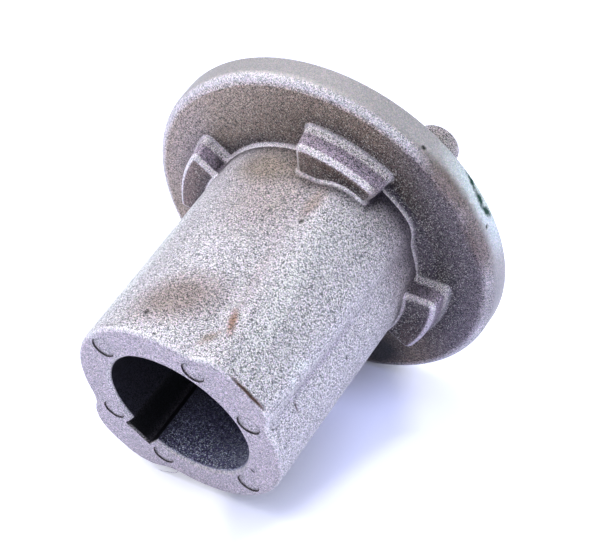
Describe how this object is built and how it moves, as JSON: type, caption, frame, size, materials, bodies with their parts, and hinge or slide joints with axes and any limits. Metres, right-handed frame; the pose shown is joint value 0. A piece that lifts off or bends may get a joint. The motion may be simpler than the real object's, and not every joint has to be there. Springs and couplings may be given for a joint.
{
  "type": "mower blade adapter",
  "caption": "Cast blade adapter: keyed tube with lengthwise pads that slips on a mower crankshaft, and a round flange with lugs and drive nibs that carries the blade.",
  "frame": {"origin": "centre of the tube's end face, where the bore's axis meets it; the adapter stands on that face", "axes": "+Z along the bore from the tube's end to the blade face, +Y towards the keyway, +X to the right for a viewer looking along +Y"},
  "size_m": [0.0586, 0.0586, 0.0462],
  "materials": {
    "cast_alloy": "shot-blasted die casting, used"
  },
  "bodies": {
    "root": {"blade_adapter": "cast_alloy"}
  },
  "joints": []
}
